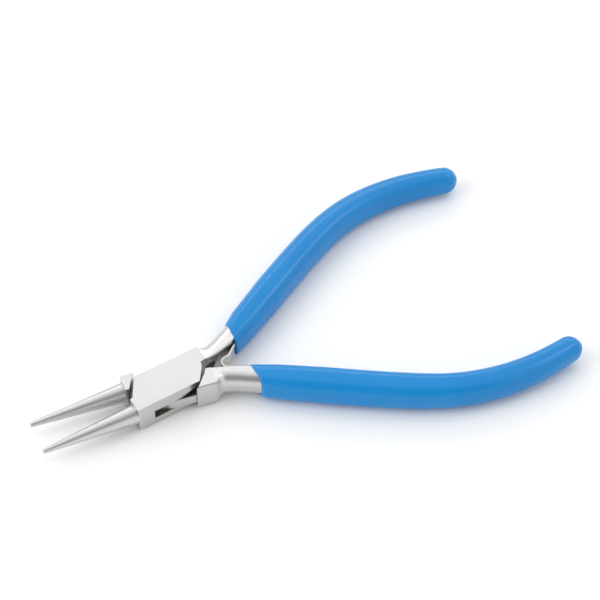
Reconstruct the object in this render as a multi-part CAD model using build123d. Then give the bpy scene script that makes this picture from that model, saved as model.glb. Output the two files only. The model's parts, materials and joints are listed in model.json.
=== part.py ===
from build123d import *
import math
import os

# Round nose pliers with a box joint, lying flat, slightly open. Millimetres.
# +X runs from the jaws to the handles, +Z is up through the pivot.
# The origin is on the pivot's axis, on the flat underside of the box joint.
# Each half is drawn closed and then turned open about the pivot.

os.makedirs("parts", exist_ok=True)

# Opening of each half away from the closed position, degrees
HALF_OPEN = 6.15

# Box joint
BOX_H = 7.3             # thickness of the steel at the joint
BOX_HALF_W = 4.75       # half width across the flat cheeks
BLOCK_HALF_W = 5.15     # outer side of the inner half's rear block
BLOCK_FRONT_X = 6.15    # front end of that side
FRONT_X = -9.85         # front shoulder of the jaws
SLOT_Z = (1.60, 4.15)   # floor and ceiling of the window through the box half
SLOT_R = 7.40           # round end walls of the window
TONGUE_GAP = 0.05       # clearance above and below the tongue in the window
TONGUE_R = 7.28         # round ends of the tongue
SPLIT_GAP = 0.12        # half of the gap between the closed halves
# Rear edge of the cheeks, where they sweep past the inner half: angle, radius about the pivot
REAR_SEAM = [(-6, 9.42), (-13, 8.92), (-20, 8.50), (-27, 8.26), (-35.9, 8.12)]
REAR_SEAM_GAP = 0.15
RAMP_X = (1.2, 8.6)     # underside of the upper cheek, thinned towards its free corner
RAMP_Z = 6.75
PIN_R = 2.0
PIN_CLEARANCE = 0.04
EDGE_CHAMFER = 0.28

# Jaws: two long cones
JAW_BASE = (FRONT_X + 0.6, 2.55)
JAW_TIP = (-32.8, 0.72)
JAW_BASE_R = 2.42
JAW_DROP = 0.15         # the jaws' axes lie this much below the middle of the box
JAW_TIP_R = 0.58

# Handle centre line, closed, from the box to the end of the longer grip
HANDLE_LINE = [
    (10.6, 2.40), (15.0, 2.97), (19.5, 4.65), (26.0, 7.55), (34.0, 11.35), (46.4, 17.30),
    (56.0, 21.45), (63.0, 23.80), (70.0, 25.05), (77.0, 25.25), (84.0, 24.50),
    (90.0, 23.15), (99.0, 20.30),
]
# Steel core: distance along the line in mm, width, thickness
CORE = [
    (0, 4.25, 7.0), (3.5, 4.35, 6.8), (9, 4.75, 6.5), (18, 4.90, 6.4), (32, 5.6, 6.2),
    (55, 5.6, 6.0), (72, 5.0, 5.4), (83, 4.0, 4.4),
]
CORE_CORNERS = (0.80, 0.18)     # roundness of the outer and inner corners
# Dipped grips, outside: distance along the line, width, thickness, shift to the outer side.
# The two were dipped apart and differ a little at their ends.
GRIP_UPPER = [
    (5.5, 5.7, 7.0, -0.25), (10.5, 6.4, 7.4, -0.33), (16, 7.4, 7.85, -0.12), (27.5, 8.0, 8.2, 0),
    (46, 7.9, 8.1, 0), (64.5, 7.4, 7.7, 0), (77.5, 6.9, 7.2, -0.08), (88, 6.4, 6.7, -0.20),
    (93.4, 6.1, 6.4, -0.38),
]
GRIP_LOWER = [
    (5.5, 6.2, 7.2, 0), (10.5, 6.8, 7.6, 0), (16, 7.6, 7.95, 0), (27.5, 8.05, 8.2, 0),
    (46, 7.95, 8.1, 0), (64.5, 7.4, 7.65, 0), (77.5, 6.7, 7.0, 0.08), (88, 6.05, 6.3, 0.15),
    (92.1, 5.75, 5.95, 0.30),
]
GRIP_CORNERS = (0.84, 0.70)
GRIP_END_TURNS = (18, 34, 49, 62, 73, 82, 87)   # degrees round a grip's end, one per section
GRIP_FRONT_X = 20.0     # the dipped edge lies along a line across the tool,
GRIP_FRONT_SLANT = 8    # leaning back towards the outer side by these degrees
GRIP_END_R = 3.4        # length of the grip's rounded end
LOFT_STEP = 3.6         # spacing of the sections along a handle

# Shoulder where the joint's square end runs out into a neck: its span along the handle line,
# its reach to the inner and outer side at the square end, and the corner roundness there
SHOULDER = (0.6, 3.4)
SHOULDER_INNER = 2.15
SHOULDER_OUTER = {"upper": 2.12, "lower": 2.68}
SHOULDER_CORNER = 0.09
SHOULDER_STEPS = 8

# Return spring: one bent strip between the handles. Its arms lie on the necks from
# ARM_END to ARM_ROOT along the handle line; the bend is drawn open.
SPRING_BEND = [
    (18.40, 2.85), (17.45, 1.95), (16.70, 1.55), (15.60, 1.30), (14.55, 0.05), (15.30, -1.45),
    (16.75, -2.30), (18.40, -3.30),
]
ARM_END = 17.6
ARM_ROOT = 10.6
ARM_GAP = 0.06          # between an arm and the neck it lies on
SPRING_T = 0.45
SPRING_Z = (1.90, 5.40)
HOLLOW_X = 12.35        # round hollow in the inner side of each neck
HOLLOW_R = 1.45
HOLLOW_DEPTH = 2.6

# Rivets that hold the spring's two arms to the necks
RIVET_AT = 15.55
RIVET_R = 0.8
RIVET_HEAD = (1.35, 0.42)
RIVET_LENGTH = 2.2
FIT = 0.03              # looseness of the spring and rivet heads inside a grip

MID_Z = BOX_H / 2


def prism(points, z0, z1):
    """Upright solid over a closed plan outline."""
    outline = make_face(Polyline(*points, close=True))
    return extrude(Pos(0, 0, z0) * outline, z1 - z0)


def disc(radius, z0, z1):
    return Pos(0, 0, (z0 + z1) / 2) * Cylinder(radius, z1 - z0)


def polar(radius, degrees):
    turn = math.radians(degrees)
    return (radius * math.cos(turn), radius * math.sin(turn))


handle_curve = Spline(*HANDLE_LINE)


def station(distance):
    """Plane across the handle, its x pointing to the outer side of the tool."""
    place = handle_curve @ (distance / handle_curve.length)
    along = handle_curve % (distance / handle_curve.length)
    outward = Vector(-along.Y, along.X, 0)
    return Plane(
        origin=(place.X, place.Y, MID_Z),
        x_dir=(outward.X, outward.Y, 0),
        z_dir=(along.X, along.Y, 0),
    )


def handle_section(distance, width, thickness, corners, shift=0.0):
    """Rounded section, its outer and inner corners rounded by shares of half its thickness."""
    outer, inner = corners
    face = Rectangle(width, thickness)
    ends = face.vertices()
    face = fillet([v for v in ends if v.X > 0], outer * thickness / 2)
    face = fillet([v for v in face.vertices().sort_by(Axis.X)[:2]], inner * thickness / 2)
    return station(distance) * Pos(shift, 0) * face


def profile(table, distance):
    """Width and thickness at a place along the handle, eased between the table's rows."""
    for (d0, *first), (d1, *last) in zip(table, table[1:]):
        if d0 <= distance <= d1:
            t = (distance - d0) / (d1 - d0)
            return tuple(a + (b - a) * t for a, b in zip(first, last))
    return tuple(table[-1][1:])


def core_section(name, distance):
    """Section of a handle's steel, swelling to the joint's square end along the shoulder."""
    start, stop = SHOULDER
    fade = max(0.0, (stop - distance) / (stop - start)) ** 2
    width, thickness = profile(CORE, distance)
    outer = width / 2 + (SHOULDER_OUTER[name] - width / 2) * fade
    inner = width / 2 + (SHOULDER_INNER - width / 2) * fade
    corners = [c + (SHOULDER_CORNER - c) * fade for c in CORE_CORNERS]
    height = thickness + (BOX_H - thickness) * fade
    return handle_section(distance, outer + inner, height, corners, (outer - inner) / 2)


def core_loft(name):
    """Steel core of a handle, with its hollow-curved shoulder behind the joint."""
    start, neck, stop = *SHOULDER, CORE[-1][0]
    count = round((stop - neck) / LOFT_STEP)
    places = [start + (neck - start) * i / SHOULDER_STEPS for i in range(SHOULDER_STEPS)]
    places += [neck + (stop - neck) * i / count for i in range(count + 1)]
    return loft([core_section(name, place) for place in places])


def grip_loft(table):
    """Outside of a grip, its sections closer together towards its rounded end."""
    start, stop = table[0][0], table[-1][0] - GRIP_END_R
    count = round((stop - start) / LOFT_STEP) + 4
    places = [start + (stop - start) * (1 - (1 - i / count) ** 1.35) for i in range(count + 1)]
    stations = [(place, 1.0) for place in places]
    for degrees in GRIP_END_TURNS:
        turn = math.radians(degrees)
        stations.append((stop + math.sin(turn) * GRIP_END_R, math.cos(turn)))
    sections = []
    for place, size in stations:
        width, thickness, shift = profile(table, place)
        corners = GRIP_CORNERS
        sections.append(handle_section(place, width * size, thickness * size, corners, shift))
    return loft(sections)


def jaw(side):
    """Tapered jaw on one side of the centre plane, with a softened tip."""
    base = Vector(JAW_BASE[0], side * JAW_BASE[1], MID_Z - JAW_DROP)
    tip = Vector(JAW_TIP[0], side * JAW_TIP[1], MID_Z - JAW_DROP)
    axis = tip - base
    middle = Plane(origin=base + axis * 0.5, z_dir=axis)
    cone = middle * Cone(JAW_BASE_R, JAW_TIP_R, axis.length)
    rim = cone.edges().sort_by(Axis.X)[0]
    return fillet(rim, 0.28)


def side_edges(block):
    """The level edges along the tool's two flanks."""
    level = block.edges().filter_by(Plane.XY)
    return level.filter_by(Axis.X).filter_by(lambda e: abs(e.center().Y) > 4)


def opened(solid, side):
    """A half turned from closed to its resting position."""
    return Rot(0, 0, side * HALF_OPEN) * solid


def one_solid(shape):
    solids = shape.solids()
    if len(solids) != 1:
        raise ValueError(f"{len(solids)} pieces where one was meant")
    return solids[0]


# Handle cores and grips, drawn for the half whose handle is on +Y
cores = {name: core_loft(name) for name in SHOULDER_OUTER}
grip_front = Pos(GRIP_FRONT_X, 0, MID_Z) * Rot(0, 0, -GRIP_FRONT_SLANT)
grip_front = grip_front * Pos(-20, 0, 0) * Box(40, 60, 20)
grips = {"upper": grip_loft(GRIP_UPPER) - grip_front, "lower": grip_loft(GRIP_LOWER) - grip_front}


def core_half_width(distance):
    """Half the steel's width at a place along the handle."""
    return profile(CORE, distance)[0] / 2


def arm_point(distance, side):
    """A point of the strip's centre line on the inner side of a neck, open position."""
    plane = station(distance)
    away = core_half_width(distance) + ARM_GAP + SPRING_T / 2
    place = plane.origin - plane.x_dir * away
    turned = Vector(place.X, place.Y, 0).rotate(Axis.Z, HALF_OPEN)
    return (turned.X, side * turned.Y)


def spring_shape(extra=0.0):
    """The bent strip, or the room it takes up with some looseness all round."""
    steps = [ARM_END + extra, (ARM_END + ARM_ROOT) / 2, ARM_ROOT]
    upper = [arm_point(f, 1) for f in steps]
    lower = [arm_point(f, -1) for f in reversed(steps)]
    line = Spline(*upper, *SPRING_BEND, *lower)
    count = 60
    sides = ([], [])
    for i in range(count + 1):
        place = line @ (i / count)
        along = line % (i / count)
        for way, points in zip((1, -1), sides):
            away = way * (SPRING_T / 2 + extra)
            points.append((place.X - along.Y * away, place.Y + along.X * away))
    left, right = sides
    edges = Spline(*left) + Line(left[-1], right[-1]) + Spline(*right) + Line(right[0], left[0])
    z0, z1 = SPRING_Z[0] - extra, SPRING_Z[1] + extra
    return extrude(Pos(0, 0, z0) * make_face(edges), z1 - z0)


# Round hollow in the inner side of each neck
hollow = Pos(HOLLOW_X, 0, MID_Z) * Rot(90, 0, 0) * Cylinder(HOLLOW_R, 2 * HOLLOW_DEPTH)


def rear_corner(y, side=1):
    """Plan point on the joint's square rear end, at a distance from the middle plane."""
    plane = station(SHOULDER[0] + 0.02)
    reach = (y - plane.origin.Y) / plane.x_dir.Y
    return (plane.origin.X + plane.x_dir.X * reach, side * y)


# Box half: cheeks, near jaw and far handle
box_outline = [
    (FRONT_X, -BOX_HALF_W), (FRONT_X, -0.95), (-8.9, -0.5), (-8.55, 0.2), (-5.7, BOX_HALF_W),
    (10.35, BOX_HALF_W), rear_corner(BOX_HALF_W - 0.2), rear_corner(0.35), (9.72, SPLIT_GAP),
    *[polar(r, angle) for angle, r in REAR_SEAM],
]
box_block = prism(box_outline, 0, BOX_H)
box_block = chamfer(side_edges(box_block), EDGE_CHAMFER)
window = (
    disc(SLOT_R, *SLOT_Z)
    + prism([(-12, -SPLIT_GAP), (0, -SPLIT_GAP), (0, 7), (-12, 7)], *SLOT_Z)
    + prism([(0, SPLIT_GAP), (0, -7), (12, -7), (12, SPLIT_GAP)], *SLOT_Z)
)
ramp_side = Plane.XZ * make_face(
    Polyline(
        (RAMP_X[0], SLOT_Z[1] - 0.3), (RAMP_X[0], SLOT_Z[1]), (RAMP_X[1], RAMP_Z),
        (RAMP_X[1], SLOT_Z[1] - 0.3), close=True,
    )
)
ramp = Pos(0, -2.6, 0) * extrude(ramp_side, 4)
box_half = box_block + jaw(-1) + cores["upper"]
box_half = box_half - window - ramp - hollow - disc(PIN_R, -1, BOX_H + 1)

# Inner half: tongue, far jaw and near handle
tongue_z = (SLOT_Z[0] + TONGUE_GAP, SLOT_Z[1] - TONGUE_GAP)
tongue_side = BOX_HALF_W - 0.05
tongue_band = prism(
    [
        (-8, tongue_side), (-0.3, tongue_side), (6.9, 3.6), (8, 3.6),
        (8, -tongue_side), (0.3, -tongue_side), (-6.9, -3.6), (-8, -3.6),
    ],
    *tongue_z,
)
tongue = disc(TONGUE_R, *tongue_z) & tongue_band
front_root = prism(
    [(-9.2, SPLIT_GAP), (-4, SPLIT_GAP), (-4, tongue_side), (-9.2, tongue_side)], *tongue_z
)
rear_root = prism(
    [(4, -SPLIT_GAP), (10.5, -SPLIT_GAP), (10.5, -tongue_side), (4, -tongue_side)], *tongue_z
)
front_block = prism(
    [
        (FRONT_X + 0.2, SPLIT_GAP), (-8.75, SPLIT_GAP), (-6.45, BOX_HALF_W),
        (FRONT_X + 0.2, BOX_HALF_W),
    ],
    0,
    BOX_H,
)
seam_edge = [polar(r + REAR_SEAM_GAP, angle) for angle, r in reversed(REAR_SEAM)]
rear_block = prism(
    [
        (BLOCK_FRONT_X, -BLOCK_HALF_W), *seam_edge,
        (9.87, -SPLIT_GAP), rear_corner(0.35, -1), rear_corner(BLOCK_HALF_W, -1),
    ],
    0,
    BOX_H,
)
blocks = []
for block in (front_block, rear_block):
    blocks.append(chamfer(side_edges(block), EDGE_CHAMFER))
inner_half = tongue + front_root + rear_root + blocks[0] + blocks[1] + jaw(1)
inner_half = inner_half + mirror(cores["lower"], about=Plane.XZ)
inner_half = inner_half - hollow - disc(PIN_R + PIN_CLEARANCE, -1, BOX_H + 1)

pin = disc(PIN_R, 0, BOX_H)


def rivet(clearance=0.0):
    """Headed rivet through the spring's arm into the neck, on the +Y half, closed."""
    plane = station(RIVET_AT)
    face = core_half_width(RIVET_AT) + ARM_GAP + SPRING_T + 0.03
    foot = plane.origin - plane.x_dir * (face - SPRING_T - RIVET_LENGTH)
    inward = Plane(origin=foot, z_dir=plane.x_dir * -1)
    shank_length = RIVET_LENGTH + SPRING_T
    head_r, head_h = RIVET_HEAD
    shank = Pos(0, 0, shank_length / 2) * Cylinder(RIVET_R + clearance, shank_length)
    head = Cylinder(head_r + clearance, head_h + clearance)
    head = Pos(0, 0, shank_length + (head_h + clearance) / 2) * head
    return inward * (shank + head)


def placed(shape, side):
    """A piece drawn for the closed +Y half, on its own half and turned open."""
    own = shape if side > 0 else mirror(shape, about=Plane.XZ)
    return opened(own, side)


both = {}
for name, side, steel in (("upper", 1, box_half), ("lower", -1, inner_half)):
    shapes = [placed(shape, side) for shape in (rivet(), rivet(FIT), grips[name], cores[name])]
    both[name] = (opened(steel, side) - shapes[0], *shapes)

room = spring_shape(FIT)
spring = spring_shape()
for name in both:
    spring = spring - both[name][2]

parts = {
    "box_half": both["upper"][0],
    "inner_half": both["lower"][0],
    "pivot_pin": pin,
    "return_spring": spring,
}
for name, (steel, pin_shape, pin_room, grip, steel_core) in both.items():
    parts[f"spring_rivet_{name}"] = pin_shape
    parts[f"grip_{name}"] = grip - steel_core - room - pin_room

for name, shape in parts.items():
    export_step(one_solid(shape), f"parts/{name}.step")
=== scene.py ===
"""Round nose pliers, lying slightly open on a pale floor.

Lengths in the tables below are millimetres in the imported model's frame: +X runs from the jaws
to the handles, +Z is up through the pivot, and the origin is on the pivot's axis.
"""

import json
import math

import bmesh
import bpy
import numpy as np
from mathutils import Matrix, Vector


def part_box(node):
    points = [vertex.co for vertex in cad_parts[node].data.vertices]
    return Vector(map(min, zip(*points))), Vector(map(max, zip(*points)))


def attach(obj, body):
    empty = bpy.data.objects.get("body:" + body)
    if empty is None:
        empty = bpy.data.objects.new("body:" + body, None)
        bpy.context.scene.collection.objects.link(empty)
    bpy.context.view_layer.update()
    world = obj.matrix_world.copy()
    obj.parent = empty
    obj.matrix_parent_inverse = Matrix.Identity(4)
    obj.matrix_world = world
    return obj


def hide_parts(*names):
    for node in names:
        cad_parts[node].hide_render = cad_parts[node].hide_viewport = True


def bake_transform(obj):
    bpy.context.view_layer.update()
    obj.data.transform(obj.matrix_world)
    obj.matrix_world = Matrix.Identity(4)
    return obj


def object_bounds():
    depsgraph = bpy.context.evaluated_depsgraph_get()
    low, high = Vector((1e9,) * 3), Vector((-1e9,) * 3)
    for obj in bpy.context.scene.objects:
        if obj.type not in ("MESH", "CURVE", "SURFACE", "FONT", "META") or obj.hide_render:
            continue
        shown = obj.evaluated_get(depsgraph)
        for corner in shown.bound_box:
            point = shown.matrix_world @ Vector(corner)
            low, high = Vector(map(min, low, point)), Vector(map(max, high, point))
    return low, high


MM = 0.001

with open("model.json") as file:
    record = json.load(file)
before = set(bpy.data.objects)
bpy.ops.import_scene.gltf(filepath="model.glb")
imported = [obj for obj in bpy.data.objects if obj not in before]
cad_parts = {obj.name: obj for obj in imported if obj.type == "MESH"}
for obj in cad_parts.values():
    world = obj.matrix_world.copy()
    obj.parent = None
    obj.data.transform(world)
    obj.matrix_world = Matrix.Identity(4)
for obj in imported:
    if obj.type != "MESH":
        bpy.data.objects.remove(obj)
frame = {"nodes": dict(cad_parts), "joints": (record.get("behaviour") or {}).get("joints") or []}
cad_low, cad_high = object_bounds()
nodes = frame["nodes"]
scene = bpy.context.scene

# The joint rests at its open stop, each half turned by half of the joint's travel.
HALF_OPEN = math.radians(frame["joints"][0]["range_deg"][1] / 2)
BOX_LOW, BOX_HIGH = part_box("pivot_pin")
MID_Z = (BOX_LOW.z + BOX_HIGH.z) / 2 / MM

# Handle centre line of the half whose handle is on +Y, closed
HANDLE_LINE = [
    (10.6, 2.40), (15.0, 2.97), (19.5, 4.65), (26.0, 7.55), (34.0, 11.35), (46.4, 17.30),
    (56.0, 21.45), (63.0, 23.80), (70.0, 25.05), (77.0, 25.25), (84.0, 24.50),
    (90.0, 23.15), (99.0, 20.30),
]
# Steel core: distance along the line, width, thickness
CORE = [
    (0, 4.25, 7.0), (3.5, 4.35, 6.8), (9, 4.75, 6.5), (18, 4.90, 6.4), (32, 5.6, 6.2),
    (55, 5.6, 6.0), (72, 5.0, 5.4), (83, 4.0, 4.4),
]
# Dipped grips: distance along the line, width, thickness, shift to the outer side
GRIPS = {
    "upper": [
        (5.5, 5.7, 7.0, -0.25), (10.5, 6.4, 7.4, -0.33), (16, 7.4, 7.85, -0.12),
        (27.5, 8.0, 8.2, 0), (46, 7.9, 8.1, 0), (64.5, 7.4, 7.7, 0), (77.5, 6.9, 7.2, -0.08),
        (88, 6.4, 6.7, -0.20), (93.4, 6.1, 6.4, -0.38),
    ],
    "lower": [
        (5.5, 6.2, 7.2, 0), (10.5, 6.8, 7.6, 0), (16, 7.6, 7.95, 0), (27.5, 8.05, 8.2, 0),
        (46, 7.95, 8.1, 0), (64.5, 7.4, 7.65, 0), (77.5, 6.7, 7.0, 0.08), (88, 6.05, 6.3, 0.15),
        (92.1, 5.75, 5.95, 0.30),
    ],
}
SIDES = (("upper", 1, "box_side"), ("lower", -1, "inner_side"))
# Roundness of a section's outer and inner corners, as shares of half its thickness
GRIP_CORNERS = (0.84, 0.70)
CORE_CORNERS = (0.80, 0.18)
GRIP_FRONT_X = 20.0             # the dipped edge lies along a line across the tool,
GRIP_FRONT_SLANT = math.radians(8)      # leaning back towards the outer side
GRIP_LIP = 0.42                 # roundness of the dipped edge
GRIP_END = 3.4                  # length of the rounded end
FRONT_EASE = 12.0               # length in which the rings turn from slanted to square
BORE_PLAY = 0.04                # the bore is this much smaller than the steel
INSIDE_SKIN = 0.02              # the visible grip is this much smaller than its solid
RING_POINTS = 72                # points round a section
RING_STEP = 0.7                 # spacing of the sections along a grip
BORE_RINGS = 40
LIP_TURNS = (0, 12, 25, 38, 51, 64, 77, 90)     # degrees round the lip, one per ring
LIP_START = 0.35                # share of the wall's thickness where the lip's curve starts
END_TURNS = (8, 16, 24, 32, 40, 48, 56, 64, 71, 77, 82, 86, 89)     # round the rear end

# Return spring: a bent strip whose arms lie on the inner sides of the necks
SPRING_BEND = [
    (18.40, 2.85), (17.45, 1.95), (16.70, 1.55), (15.60, 1.30), (14.55, 0.05), (15.30, -1.45),
    (16.75, -2.30), (18.40, -3.30),
]
ARM_END, ARM_ROOT = 17.6, 10.6  # along the handle line
ARM_GAP = 0.06
SPRING_T = 0.45
SPRING_Z = (1.90, 5.40)
SPRING_EDGE = 0.14              # rounding of the strip's edges
SPRING_RINGS = 150
SPRING_SHY = 0.02               # the visible strip stops this far short of its solid's ends

# Camera: the point it looks at, its direction and distance
AIM = (40.66, 10.84, MID_Z)
VIEW_TURN = math.radians(26.35)
VIEW_ELEVATION = math.radians(49)
VIEW_DISTANCE = 442.8
LENS = 108

# Painted shade inside the joint's window, in the half's closed position
WINDOW_SHADE_FLOOR = (1.40, 1.55)       # height where the painted shade starts and where it is full
WINDOW_SHADE_TOP = (6.90, 4.15)         # where it ends and where it is full: height,
WINDOW_SHADE_ALONG = (9.4, 8.9)         # along the tool
WINDOW_SHADE_ACROSS = (4.62, 4.45)      # and across it

# Colours, linear
# Steel tints: painted light on the flat tops, painted shade on all other faces
TOP_PAINTED_LIGHT_TINT = (0.70, 0.70, 0.695)
SIDE_PAINTED_SHADE_TINT = (0.60, 0.597, 0.588)
WINDOW_PAINTED_SHADE_TINT = (0.30, 0.28, 0.26)
STRIP_TINT = (0.66, 0.64, 0.61)
VINYL_DEEP = (0.003, 0.213, 0.555)
VINYL_PALE = (0.005, 0.235, 0.590)
FLOOR_TINTS = (0.93, 0.95)
STEEL_ROUGHNESS = 0.30
STRIP_ROUGHNESS = 0.24
BLACK = (0, 0, 0, 1)
CLOUD_SPAN = (0.3, 0.7)         # the part of a noise's range that the materials use

# Studio: brightness all round, and the dark opening round the camera, degrees off its axis
SKY = 1.06
DARK = 0.34
DARK_OPENING = (42, 16)
# Soft lights: direction from the object, distance and size in metres, watts
LIGHTS = {
    "back_strip": ((0.35, 0.71, 0.59), 1.0, (0.9, 0.09), 0.8),
    "left_softbox": ((-0.78, 0.15, 0.60), 1.2, (0.8, 0.8), 4.0),
    "right_softbox": ((0.65, 0.0, 0.76), 1.1, (0.4, 0.4), 0.9),
}
FLOOR_HALF = 3.0                # metres
FLOOR_GAP = 0.01                # the floor lies this far under the object


# ---------------------------------------------------------------- camera

def view_axes():
    """Right, up and forward of the main view."""
    flat = Vector((math.sin(VIEW_TURN), math.cos(VIEW_TURN), 0))
    forward = flat * math.cos(VIEW_ELEVATION) - Vector((0, 0, math.sin(VIEW_ELEVATION)))
    right = Vector((math.cos(VIEW_TURN), -math.sin(VIEW_TURN), 0))
    return right, right.cross(forward), forward


right, up, forward = view_axes()
camera_data = bpy.data.cameras.new("camera")
camera_data.lens = LENS
camera_data.sensor_width = 36
camera_data.clip_start, camera_data.clip_end = 0.02, 20
camera = bpy.data.objects.new("camera", camera_data)
scene.collection.objects.link(camera)
turned = Matrix((right, up, -forward)).transposed().to_4x4()
stand = (Vector(AIM) - forward * VIEW_DISTANCE) * MM
camera.matrix_world = Matrix.Translation(stand) @ turned
scene.camera = camera


# ---------------------------------------------------------------- node helpers

class Nodes:
    """Short way to write a node tree."""

    def __init__(self, tree):
        self.tree = tree
        self.tree.nodes.clear()

    def add(self, kind, inputs=(), **settings):
        node = self.tree.nodes.new(kind)
        for name, value in settings.items():
            setattr(node, name, value)
        for socket, value in dict(inputs).items():
            target = node.inputs[socket]
            if isinstance(value, bpy.types.NodeSocket):
                self.tree.links.new(value, target)
            else:
                target.default_value = value
        return node

    def math(self, operation, a, b=0.0):
        return self.add("ShaderNodeMath", {0: a, 1: b}, operation=operation).outputs[0]

    def mix(self, factor, a, b):
        node = self.add("ShaderNodeMix", {0: factor, 6: a, 7: b}, data_type="RGBA")
        return node.outputs[2]

    def spread(self, value, low, high, to_low=0.0, to_high=1.0):
        """Value mapped from one span to another, held at the ends."""
        spans = {"From Min": low, "From Max": high, "To Min": to_low, "To Max": to_high}
        node = self.add(
            "ShaderNodeMapRange", {"Value": value, **spans}, interpolation_type="SMOOTHSTEP"
        )
        return node.outputs[0]

    def noise(self, vector, scale, detail, roughness, stretch=(1, 1, 1)):
        """Noise with features about 1/scale metres in size, longer where stretch is small."""
        vector = self.add("ShaderNodeMapping", {"Vector": vector, "Scale": stretch}).outputs[0]
        settings = {"Scale": scale, "Detail": detail, "Roughness": roughness}
        return self.add("ShaderNodeTexNoise", {"Vector": vector, **settings}).outputs[0]

    def surface(self, **inputs):
        """Principled shader with these inputs, wired to the output."""
        named = {name.replace("_", " "): value for name, value in inputs.items()}
        shader = self.add("ShaderNodeBsdfPrincipled", named)
        self.add("ShaderNodeOutputMaterial", {"Surface": shader.outputs[0]})


def material(name):
    made = bpy.data.materials.new(name)
    made.use_nodes = True
    return made, Nodes(made.node_tree)


# ---------------------------------------------------------------- steel

def painted_window_shade(n, own):
    """How much painted shade a point carries: all of it inside the joint's window."""
    axes = n.add("ShaderNodeSeparateXYZ", {"Vector": own}).outputs
    share = n.spread(axes["Z"], *(height * MM for height in WINDOW_SHADE_FLOOR))
    for value, (clean, dark) in (
        (axes["Z"], WINDOW_SHADE_TOP),
        (n.math("ABSOLUTE", axes["X"]), WINDOW_SHADE_ALONG),
        (n.math("ABSOLUTE", axes["Y"]), WINDOW_SHADE_ACROSS),
    ):
        share = n.math("MULTIPLY", share, n.spread(value, dark * MM, clean * MM, 1.0, 0.0))
    return share


def steel(name, top_painted_light_tint, side_painted_shade_tint, rough, turn):
    """Satin steel with painted light on its flat tops, painted shade on its other faces and
    painted shade inside the joint's window: fine lengthwise grinding marks, faint clouding and
    dulled smudges."""
    made, n = material(name)
    coordinates = n.add("ShaderNodeTexCoord")
    place = coordinates.outputs["Object"]
    facing = n.add("ShaderNodeSeparateXYZ", {"Vector": coordinates.outputs["Normal"]}).outputs["Z"]
    flat = n.spread(n.math("ABSOLUTE", facing), 0.96, 0.999)
    own = n.add("ShaderNodeMapping", {"Vector": place, "Rotation": (0, 0, turn)}).outputs[0]
    marks = n.noise(own, scale=3800, detail=3, roughness=0.65, stretch=(0.05, 1, 1))
    fine = n.noise(own, scale=9000, detail=2, roughness=0.6, stretch=(0.04, 1, 1))
    cloud = n.noise(place, scale=120, detail=3, roughness=0.5)
    smudge = n.noise(place, scale=260, detail=3, roughness=0.6)
    shade = n.math(
        "MULTIPLY",
        n.spread(cloud, *CLOUD_SPAN, 0.975, 1.015),
        n.spread(marks, *CLOUD_SPAN, 0.988, 1.012),
    )
    # Flat top faces take the painted-light tint, all other faces the painted-shade tint
    tint = n.mix(flat, (*side_painted_shade_tint, 1), (*top_painted_light_tint, 1))
    # Painted shade inside the joint's window
    tint = n.mix(painted_window_shade(n, own), tint, (*WINDOW_PAINTED_SHADE_TINT, 1))
    roughness = n.math(
        "ADD",
        n.spread(smudge, *CLOUD_SPAN, rough - 0.02, rough + 0.03),
        n.spread(fine, *CLOUD_SPAN, -0.01, 0.015),
    )
    height = n.math("ADD", n.math("MULTIPLY", marks, 0.7), n.math("MULTIPLY", fine, 0.3))
    bump = n.add("ShaderNodeBump", {"Strength": 0.10, "Distance": 0.000006, "Height": height})
    n.surface(
        Base_Color=n.mix(shade, BLACK, tint), Metallic=1.0, Roughness=roughness,
        Normal=bump.outputs[0],
    )
    return made


def vinyl(name):
    """Dip-moulded vinyl: faint lengthwise flow, slight orange peel, small dulled patches."""
    made, n = material(name)
    place = n.add("ShaderNodeTexCoord").outputs["Object"]
    cloud = n.noise(place, scale=60, detail=3, roughness=0.5)
    peel = n.noise(place, scale=1500, detail=2, roughness=0.5)
    flow = n.noise(place, scale=160, detail=2, roughness=0.5, stretch=(0.25, 1, 1))
    height = n.math("ADD", n.math("MULTIPLY", peel, 0.12), flow)
    bump = n.add("ShaderNodeBump", {"Strength": 0.10, "Distance": 0.00012, "Height": height})
    n.surface(
        Base_Color=n.mix(n.spread(cloud, *CLOUD_SPAN), (*VINYL_DEEP, 1), (*VINYL_PALE, 1)),
        Roughness=n.spread(flow, *CLOUD_SPAN, 0.15, 0.22),
        Normal=bump.outputs[0],
        IOR=1.40,
    )
    return made


def finish_with(obj, finish):
    obj.data.materials.clear()
    obj.data.materials.append(finish)


# A half's grinding marks run along it, so its material is turned as the half is.
steel_upper = steel("ground_steel_upper", TOP_PAINTED_LIGHT_TINT, SIDE_PAINTED_SHADE_TINT, STEEL_ROUGHNESS, -HALF_OPEN)
steel_lower = steel("ground_steel_lower", TOP_PAINTED_LIGHT_TINT, SIDE_PAINTED_SHADE_TINT, STEEL_ROUGHNESS, HALF_OPEN)
spring_steel = steel("spring_strip_steel", STRIP_TINT, STRIP_TINT, STRIP_ROUGHNESS, 0.0)
blue = vinyl("dipped_vinyl")

for name, finish in (
    ("box_half", steel_upper), ("pivot_pin", steel_upper), ("inner_half", steel_lower),
    ("spring_rivet_upper", spring_steel), ("spring_rivet_lower", spring_steel),
):
    finish_with(nodes[name], finish)


# ---------------------------------------------------------------- handle shapes

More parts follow.
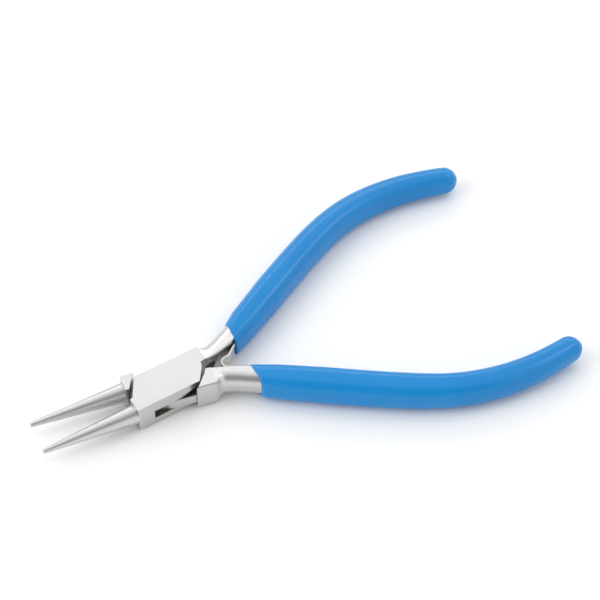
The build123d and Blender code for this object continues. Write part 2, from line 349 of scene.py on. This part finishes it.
def spline(points, per_span=60):
    """Dense points of a natural cubic through the given ones, with their distances."""
    p = np.array(points, float)
    t = np.r_[0, np.cumsum(np.linalg.norm(np.diff(p, axis=0), axis=1))]
    h = np.diff(t)
    count = len(p)
    system = np.eye(count)
    rhs = np.zeros_like(p)
    for i in range(1, count - 1):
        system[i, i - 1:i + 2] = h[i - 1], 2 * (h[i - 1] + h[i]), h[i]
        rhs[i] = 6 * ((p[i + 1] - p[i]) / h[i] - (p[i] - p[i - 1]) / h[i - 1])
    m = np.linalg.solve(system, rhs)
    rows = []
    for i in range(count - 1):
        for u in np.linspace(0, 1, per_span, endpoint=False):
            a, b = 1 - u, u
            bend = ((a ** 3 - a) * m[i] + (b ** 3 - b) * m[i + 1]) * h[i] ** 2 / 6
            rows.append(a * p[i] + b * p[i + 1] + bend)
    rows = np.array([*rows, p[-1]])
    length = np.r_[0, np.cumsum(np.linalg.norm(np.diff(rows, axis=0), axis=1))]
    return rows, length


LINE, LINE_LENGTH = spline(HANDLE_LINE)


def along_line(distance):
    """Place, outward direction and forward step at a distance along the handle line."""
    def point(where):
        return np.array([np.interp(where, LINE_LENGTH, LINE[:, k]) for k in (0, 1)])

    step = point(distance + 0.3) - point(distance - 0.3)
    step /= np.linalg.norm(step)
    return point(distance), np.array([-step[1], step[0]]), step


def table_at(table, distance):
    rows = np.array(table)
    return [float(np.interp(distance, rows[:, 0], column)) for column in rows.T[1:]]


def ring(width, thickness, corners):
    """Rounded section, (outward, up) points, evenly spaced and eased at the corners."""
    outer, inner = (c * thickness / 2 for c in corners)
    outline = []
    for r, cx, cy, start in (
        (outer, width / 2 - outer, thickness / 2 - outer, 0),
        (inner, inner - width / 2, thickness / 2 - inner, 90),
        (inner, inner - width / 2, inner - thickness / 2, 180),
        (outer, width / 2 - outer, outer - thickness / 2, 270),
    ):
        for degrees in np.linspace(start, start + 90, 24):
            turn = math.radians(degrees)
            outline.append((cx + r * math.cos(turn), cy + r * math.sin(turn)))
    outline = np.array([*outline, outline[0]])
    length = np.r_[0, np.cumsum(np.linalg.norm(np.diff(outline, axis=0), axis=1))]
    even = np.linspace(0, length[-1], RING_POINTS, endpoint=False)
    p = np.stack([np.interp(even, length, outline[:, k]) for k in (0, 1)], axis=1)
    for _ in range(5):
        p = 0.5 * p + 0.25 * (np.roll(p, 1, axis=0) + np.roll(p, -1, axis=0))
    span = p.max(0) - p.min(0)
    p = (p - (p.max(0) + p.min(0)) / 2) * (np.array([width, thickness]) / span)
    return p


def placed_ring(distance, shape, lean=0.0, back=0.0, shift=0.0):
    """A section's points in the closed frame; lean slides them along the line by their offset."""
    place, outward, step = along_line(distance)
    points = []
    for u, v in shape:
        flat = place + outward * (u + shift) + step * (back + lean * (u + shift))
        points.append((flat[0], flat[1], MID_Z + v))
    return points


def skin(name, rings):
    """Closed mesh over a row of rings with the same number of points."""
    mesh = bpy.data.meshes.new(name)
    bm = bmesh.new()
    rows = [[bm.verts.new(Vector(p) * MM) for p in one] for one in rings]
    count = len(rows[0])
    for a, b in zip(rows, rows[1:]):
        for i in range(count):
            j = (i + 1) % count
            bm.faces.new((a[i], a[j], b[j], b[i]))
    bm.faces.new(rows[0])
    bm.faces.new(list(reversed(rows[-1])))
    bmesh.ops.recalc_face_normals(bm, faces=bm.faces)
    for face in bm.faces:
        face.smooth = True
    bm.to_mesh(mesh)
    bm.free()
    made = bpy.data.objects.new(name, mesh)
    scene.collection.objects.link(made)
    return made


def grip_front():
    """Where the handle line meets the dipped front edge, and how the edge leans there."""
    for distance in np.arange(5.0, 15.0, 0.01):
        place, outward, step = along_line(distance)
        if place[0] >= GRIP_FRONT_X + place[1] * math.tan(GRIP_FRONT_SLANT):
            break
    normal = np.array([math.cos(GRIP_FRONT_SLANT), -math.sin(GRIP_FRONT_SLANT)])
    return distance, -(outward @ normal) / (step @ normal)


def grip_rings(table):
    """Rings of a dipped grip from the bottom of its bore, out over its lip, to its end."""
    front, front_lean = grip_front()

    def lean(distance):
        return front_lean * max(0.0, 1 - (distance - front) / FRONT_EASE) ** 2

    def bore(distance):
        width, thickness = table_at(CORE, distance)
        return ring(width - BORE_PLAY, thickness - BORE_PLAY, CORE_CORNERS)

    def outside(distance, size=1.0):
        width, thickness, shift = table_at(table, distance)
        width, thickness = ((side - INSIDE_SKIN) * size for side in (width, thickness))
        return ring(width, thickness, GRIP_CORNERS), shift

    rings = [placed_ring(d, bore(d), lean(d)) for d in np.linspace(CORE[-1][0], front, BORE_RINGS)]
    lip_shape, lip_shift = outside(front)
    for degrees in LIP_TURNS:
        turn = math.radians(degrees)
        share = LIP_START + (1 - LIP_START) * math.sin(turn)
        shape = bore(front) * (1 - share) + lip_shape * share
        back = GRIP_LIP * (1 - math.cos(turn))
        rings.append(placed_ring(front, shape, front_lean, back, lip_shift * share))
    start, stop = front + GRIP_LIP, table[-1][0] - GRIP_END
    count = int((stop - start) / RING_STEP)
    for distance in np.linspace(start, stop, count + 1)[1:]:
        shape, shift = outside(distance)
        rings.append(placed_ring(distance, shape, lean(distance), 0.0, shift))
    for degrees in END_TURNS:
        turn = math.radians(degrees)
        distance = stop + math.sin(turn) * (GRIP_END - INSIDE_SKIN)
        shape, shift = outside(distance, math.cos(turn))
        rings.append(placed_ring(distance, shape, 0.0, 0.0, shift))
    return rings


def open_half(rings, side):
    """Rings drawn on the +Y half, closed, put on their own half and turned open."""
    turn = Matrix.Rotation(side * HALF_OPEN, 3, "Z")
    return [[turn @ Vector((x, side * y, z)) for x, y, z in one] for one in rings]


for name, side, body in SIDES:
    grip = skin(f"dipped_grip_{name}", open_half(grip_rings(GRIPS[name]), side))
    finish_with(grip, blue)
    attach(grip, body)
    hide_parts(f"grip_{name}")


# ---------------------------------------------------------------- return spring

def arm_point(distance, side):
    """A point of the strip's centre line on the inner side of a neck, as it rests."""
    place, outward, step = along_line(distance)
    flat = place - outward * (table_at(CORE, distance)[0] / 2 + ARM_GAP + SPRING_T / 2)
    turned = Matrix.Rotation(HALF_OPEN, 2) @ Vector(flat)
    return (turned.x, side * turned.y)


def strip_section():
    """Cross-section of the strip, (across, up) points with rounded edges."""
    half_t, half_h = SPRING_T / 2, (SPRING_Z[1] - SPRING_Z[0]) / 2
    points = []
    for sx, sy, start in ((1, 1, 0), (-1, 1, 90), (-1, -1, 180), (1, -1, 270)):
        for degrees in range(start, start + 91, 15):
            turn = math.radians(degrees)
            points.append((
                sx * (half_t - SPRING_EDGE) + SPRING_EDGE * math.cos(turn),
                sy * (half_h - SPRING_EDGE) + SPRING_EDGE * math.sin(turn),
            ))
    return points


def spring_rings():
    """Rings along the strip, from the upper arm's end round the bend to the lower arm's."""
    def point(where):
        return np.array([np.interp(where, length, rows[:, k]) for k in (0, 1)])

    steps = [ARM_END, (ARM_END + ARM_ROOT) / 2, ARM_ROOT]
    upper = [arm_point(d, 1) for d in steps]
    lower = [arm_point(d, -1) for d in reversed(steps)]
    rows, length = spline([*upper, *SPRING_BEND, *lower])
    middle_z = sum(SPRING_Z) / 2
    rings = []
    for distance in np.linspace(SPRING_SHY, length[-1] - SPRING_SHY, SPRING_RINGS):
        behind, ahead = point(distance - 0.05), point(distance + 0.05)
        place = (behind + ahead) / 2
        step = (ahead - behind) / np.linalg.norm(ahead - behind)
        rings.append([
            (place[0] - step[1] * u, place[1] + step[0] * u, middle_z + v)
            for u, v in strip_section()
        ])
    return rings


spring = skin("spring_strip", spring_rings())
finish_with(spring, spring_steel)
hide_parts("return_spring")
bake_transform(spring)


# ---------------------------------------------------------------- studio

def floor():
    """Plain pale card under the object."""
    half, low = FLOOR_HALF, cad_low.z - FLOOR_GAP * MM
    corners = [(-half, -half, low), (half, -half, low), (half, half, low), (-half, half, low)]
    mesh = bpy.data.meshes.new("floor")
    mesh.from_pydata(corners, [], [(0, 1, 2, 3)])
    made = bpy.data.objects.new("floor", mesh)
    scene.collection.objects.link(made)
    paint, n = material("floor_card")
    place = n.add("ShaderNodeTexCoord").outputs["Object"]
    grain = n.noise(place, scale=400, detail=2, roughness=0.5)
    dim, bright = ((level, level, level, 1) for level in FLOOR_TINTS)
    n.surface(Base_Color=n.mix(grain, dim, bright), Roughness=0.9)
    finish_with(made, paint)


def studio_world():
    """Soft white surroundings with a dark opening where the camera stands."""
    world = bpy.data.worlds.new("studio")
    world.use_nodes = True
    scene.world = world
    n = Nodes(world.node_tree)
    look = n.add("ShaderNodeTexCoord").outputs["Generated"]
    to_camera = tuple(-forward)
    towards = n.add("ShaderNodeVectorMath", {0: look, 1: to_camera}, operation="DOT_PRODUCT")
    rim, core = (math.cos(math.radians(angle)) for angle in DARK_OPENING)
    level = n.spread(towards.outputs["Value"], rim, core, SKY, DARK)
    background = n.add("ShaderNodeBackground", {"Color": (1, 1, 1, 1), "Strength": level})
    n.add("ShaderNodeOutputWorld", {"Surface": background.outputs[0]})


def soft_light(name, direction, distance, size, power):
    """Rectangular light facing the middle of the object."""
    data = bpy.data.lights.new(name, "AREA")
    data.shape = "RECTANGLE"
    data.size, data.size_y = size
    data.energy = power
    made = bpy.data.objects.new(name, data)
    away = Vector(direction).normalized()
    made.location = (cad_low + cad_high) / 2 + away * distance
    made.rotation_mode = "QUATERNION"
    made.rotation_quaternion = away.to_track_quat("Z", "Y")
    scene.collection.objects.link(made)


floor()
studio_world()
for name, settings in LIGHTS.items():
    soft_light(name, *settings)
scene.view_settings.view_transform = "Standard"
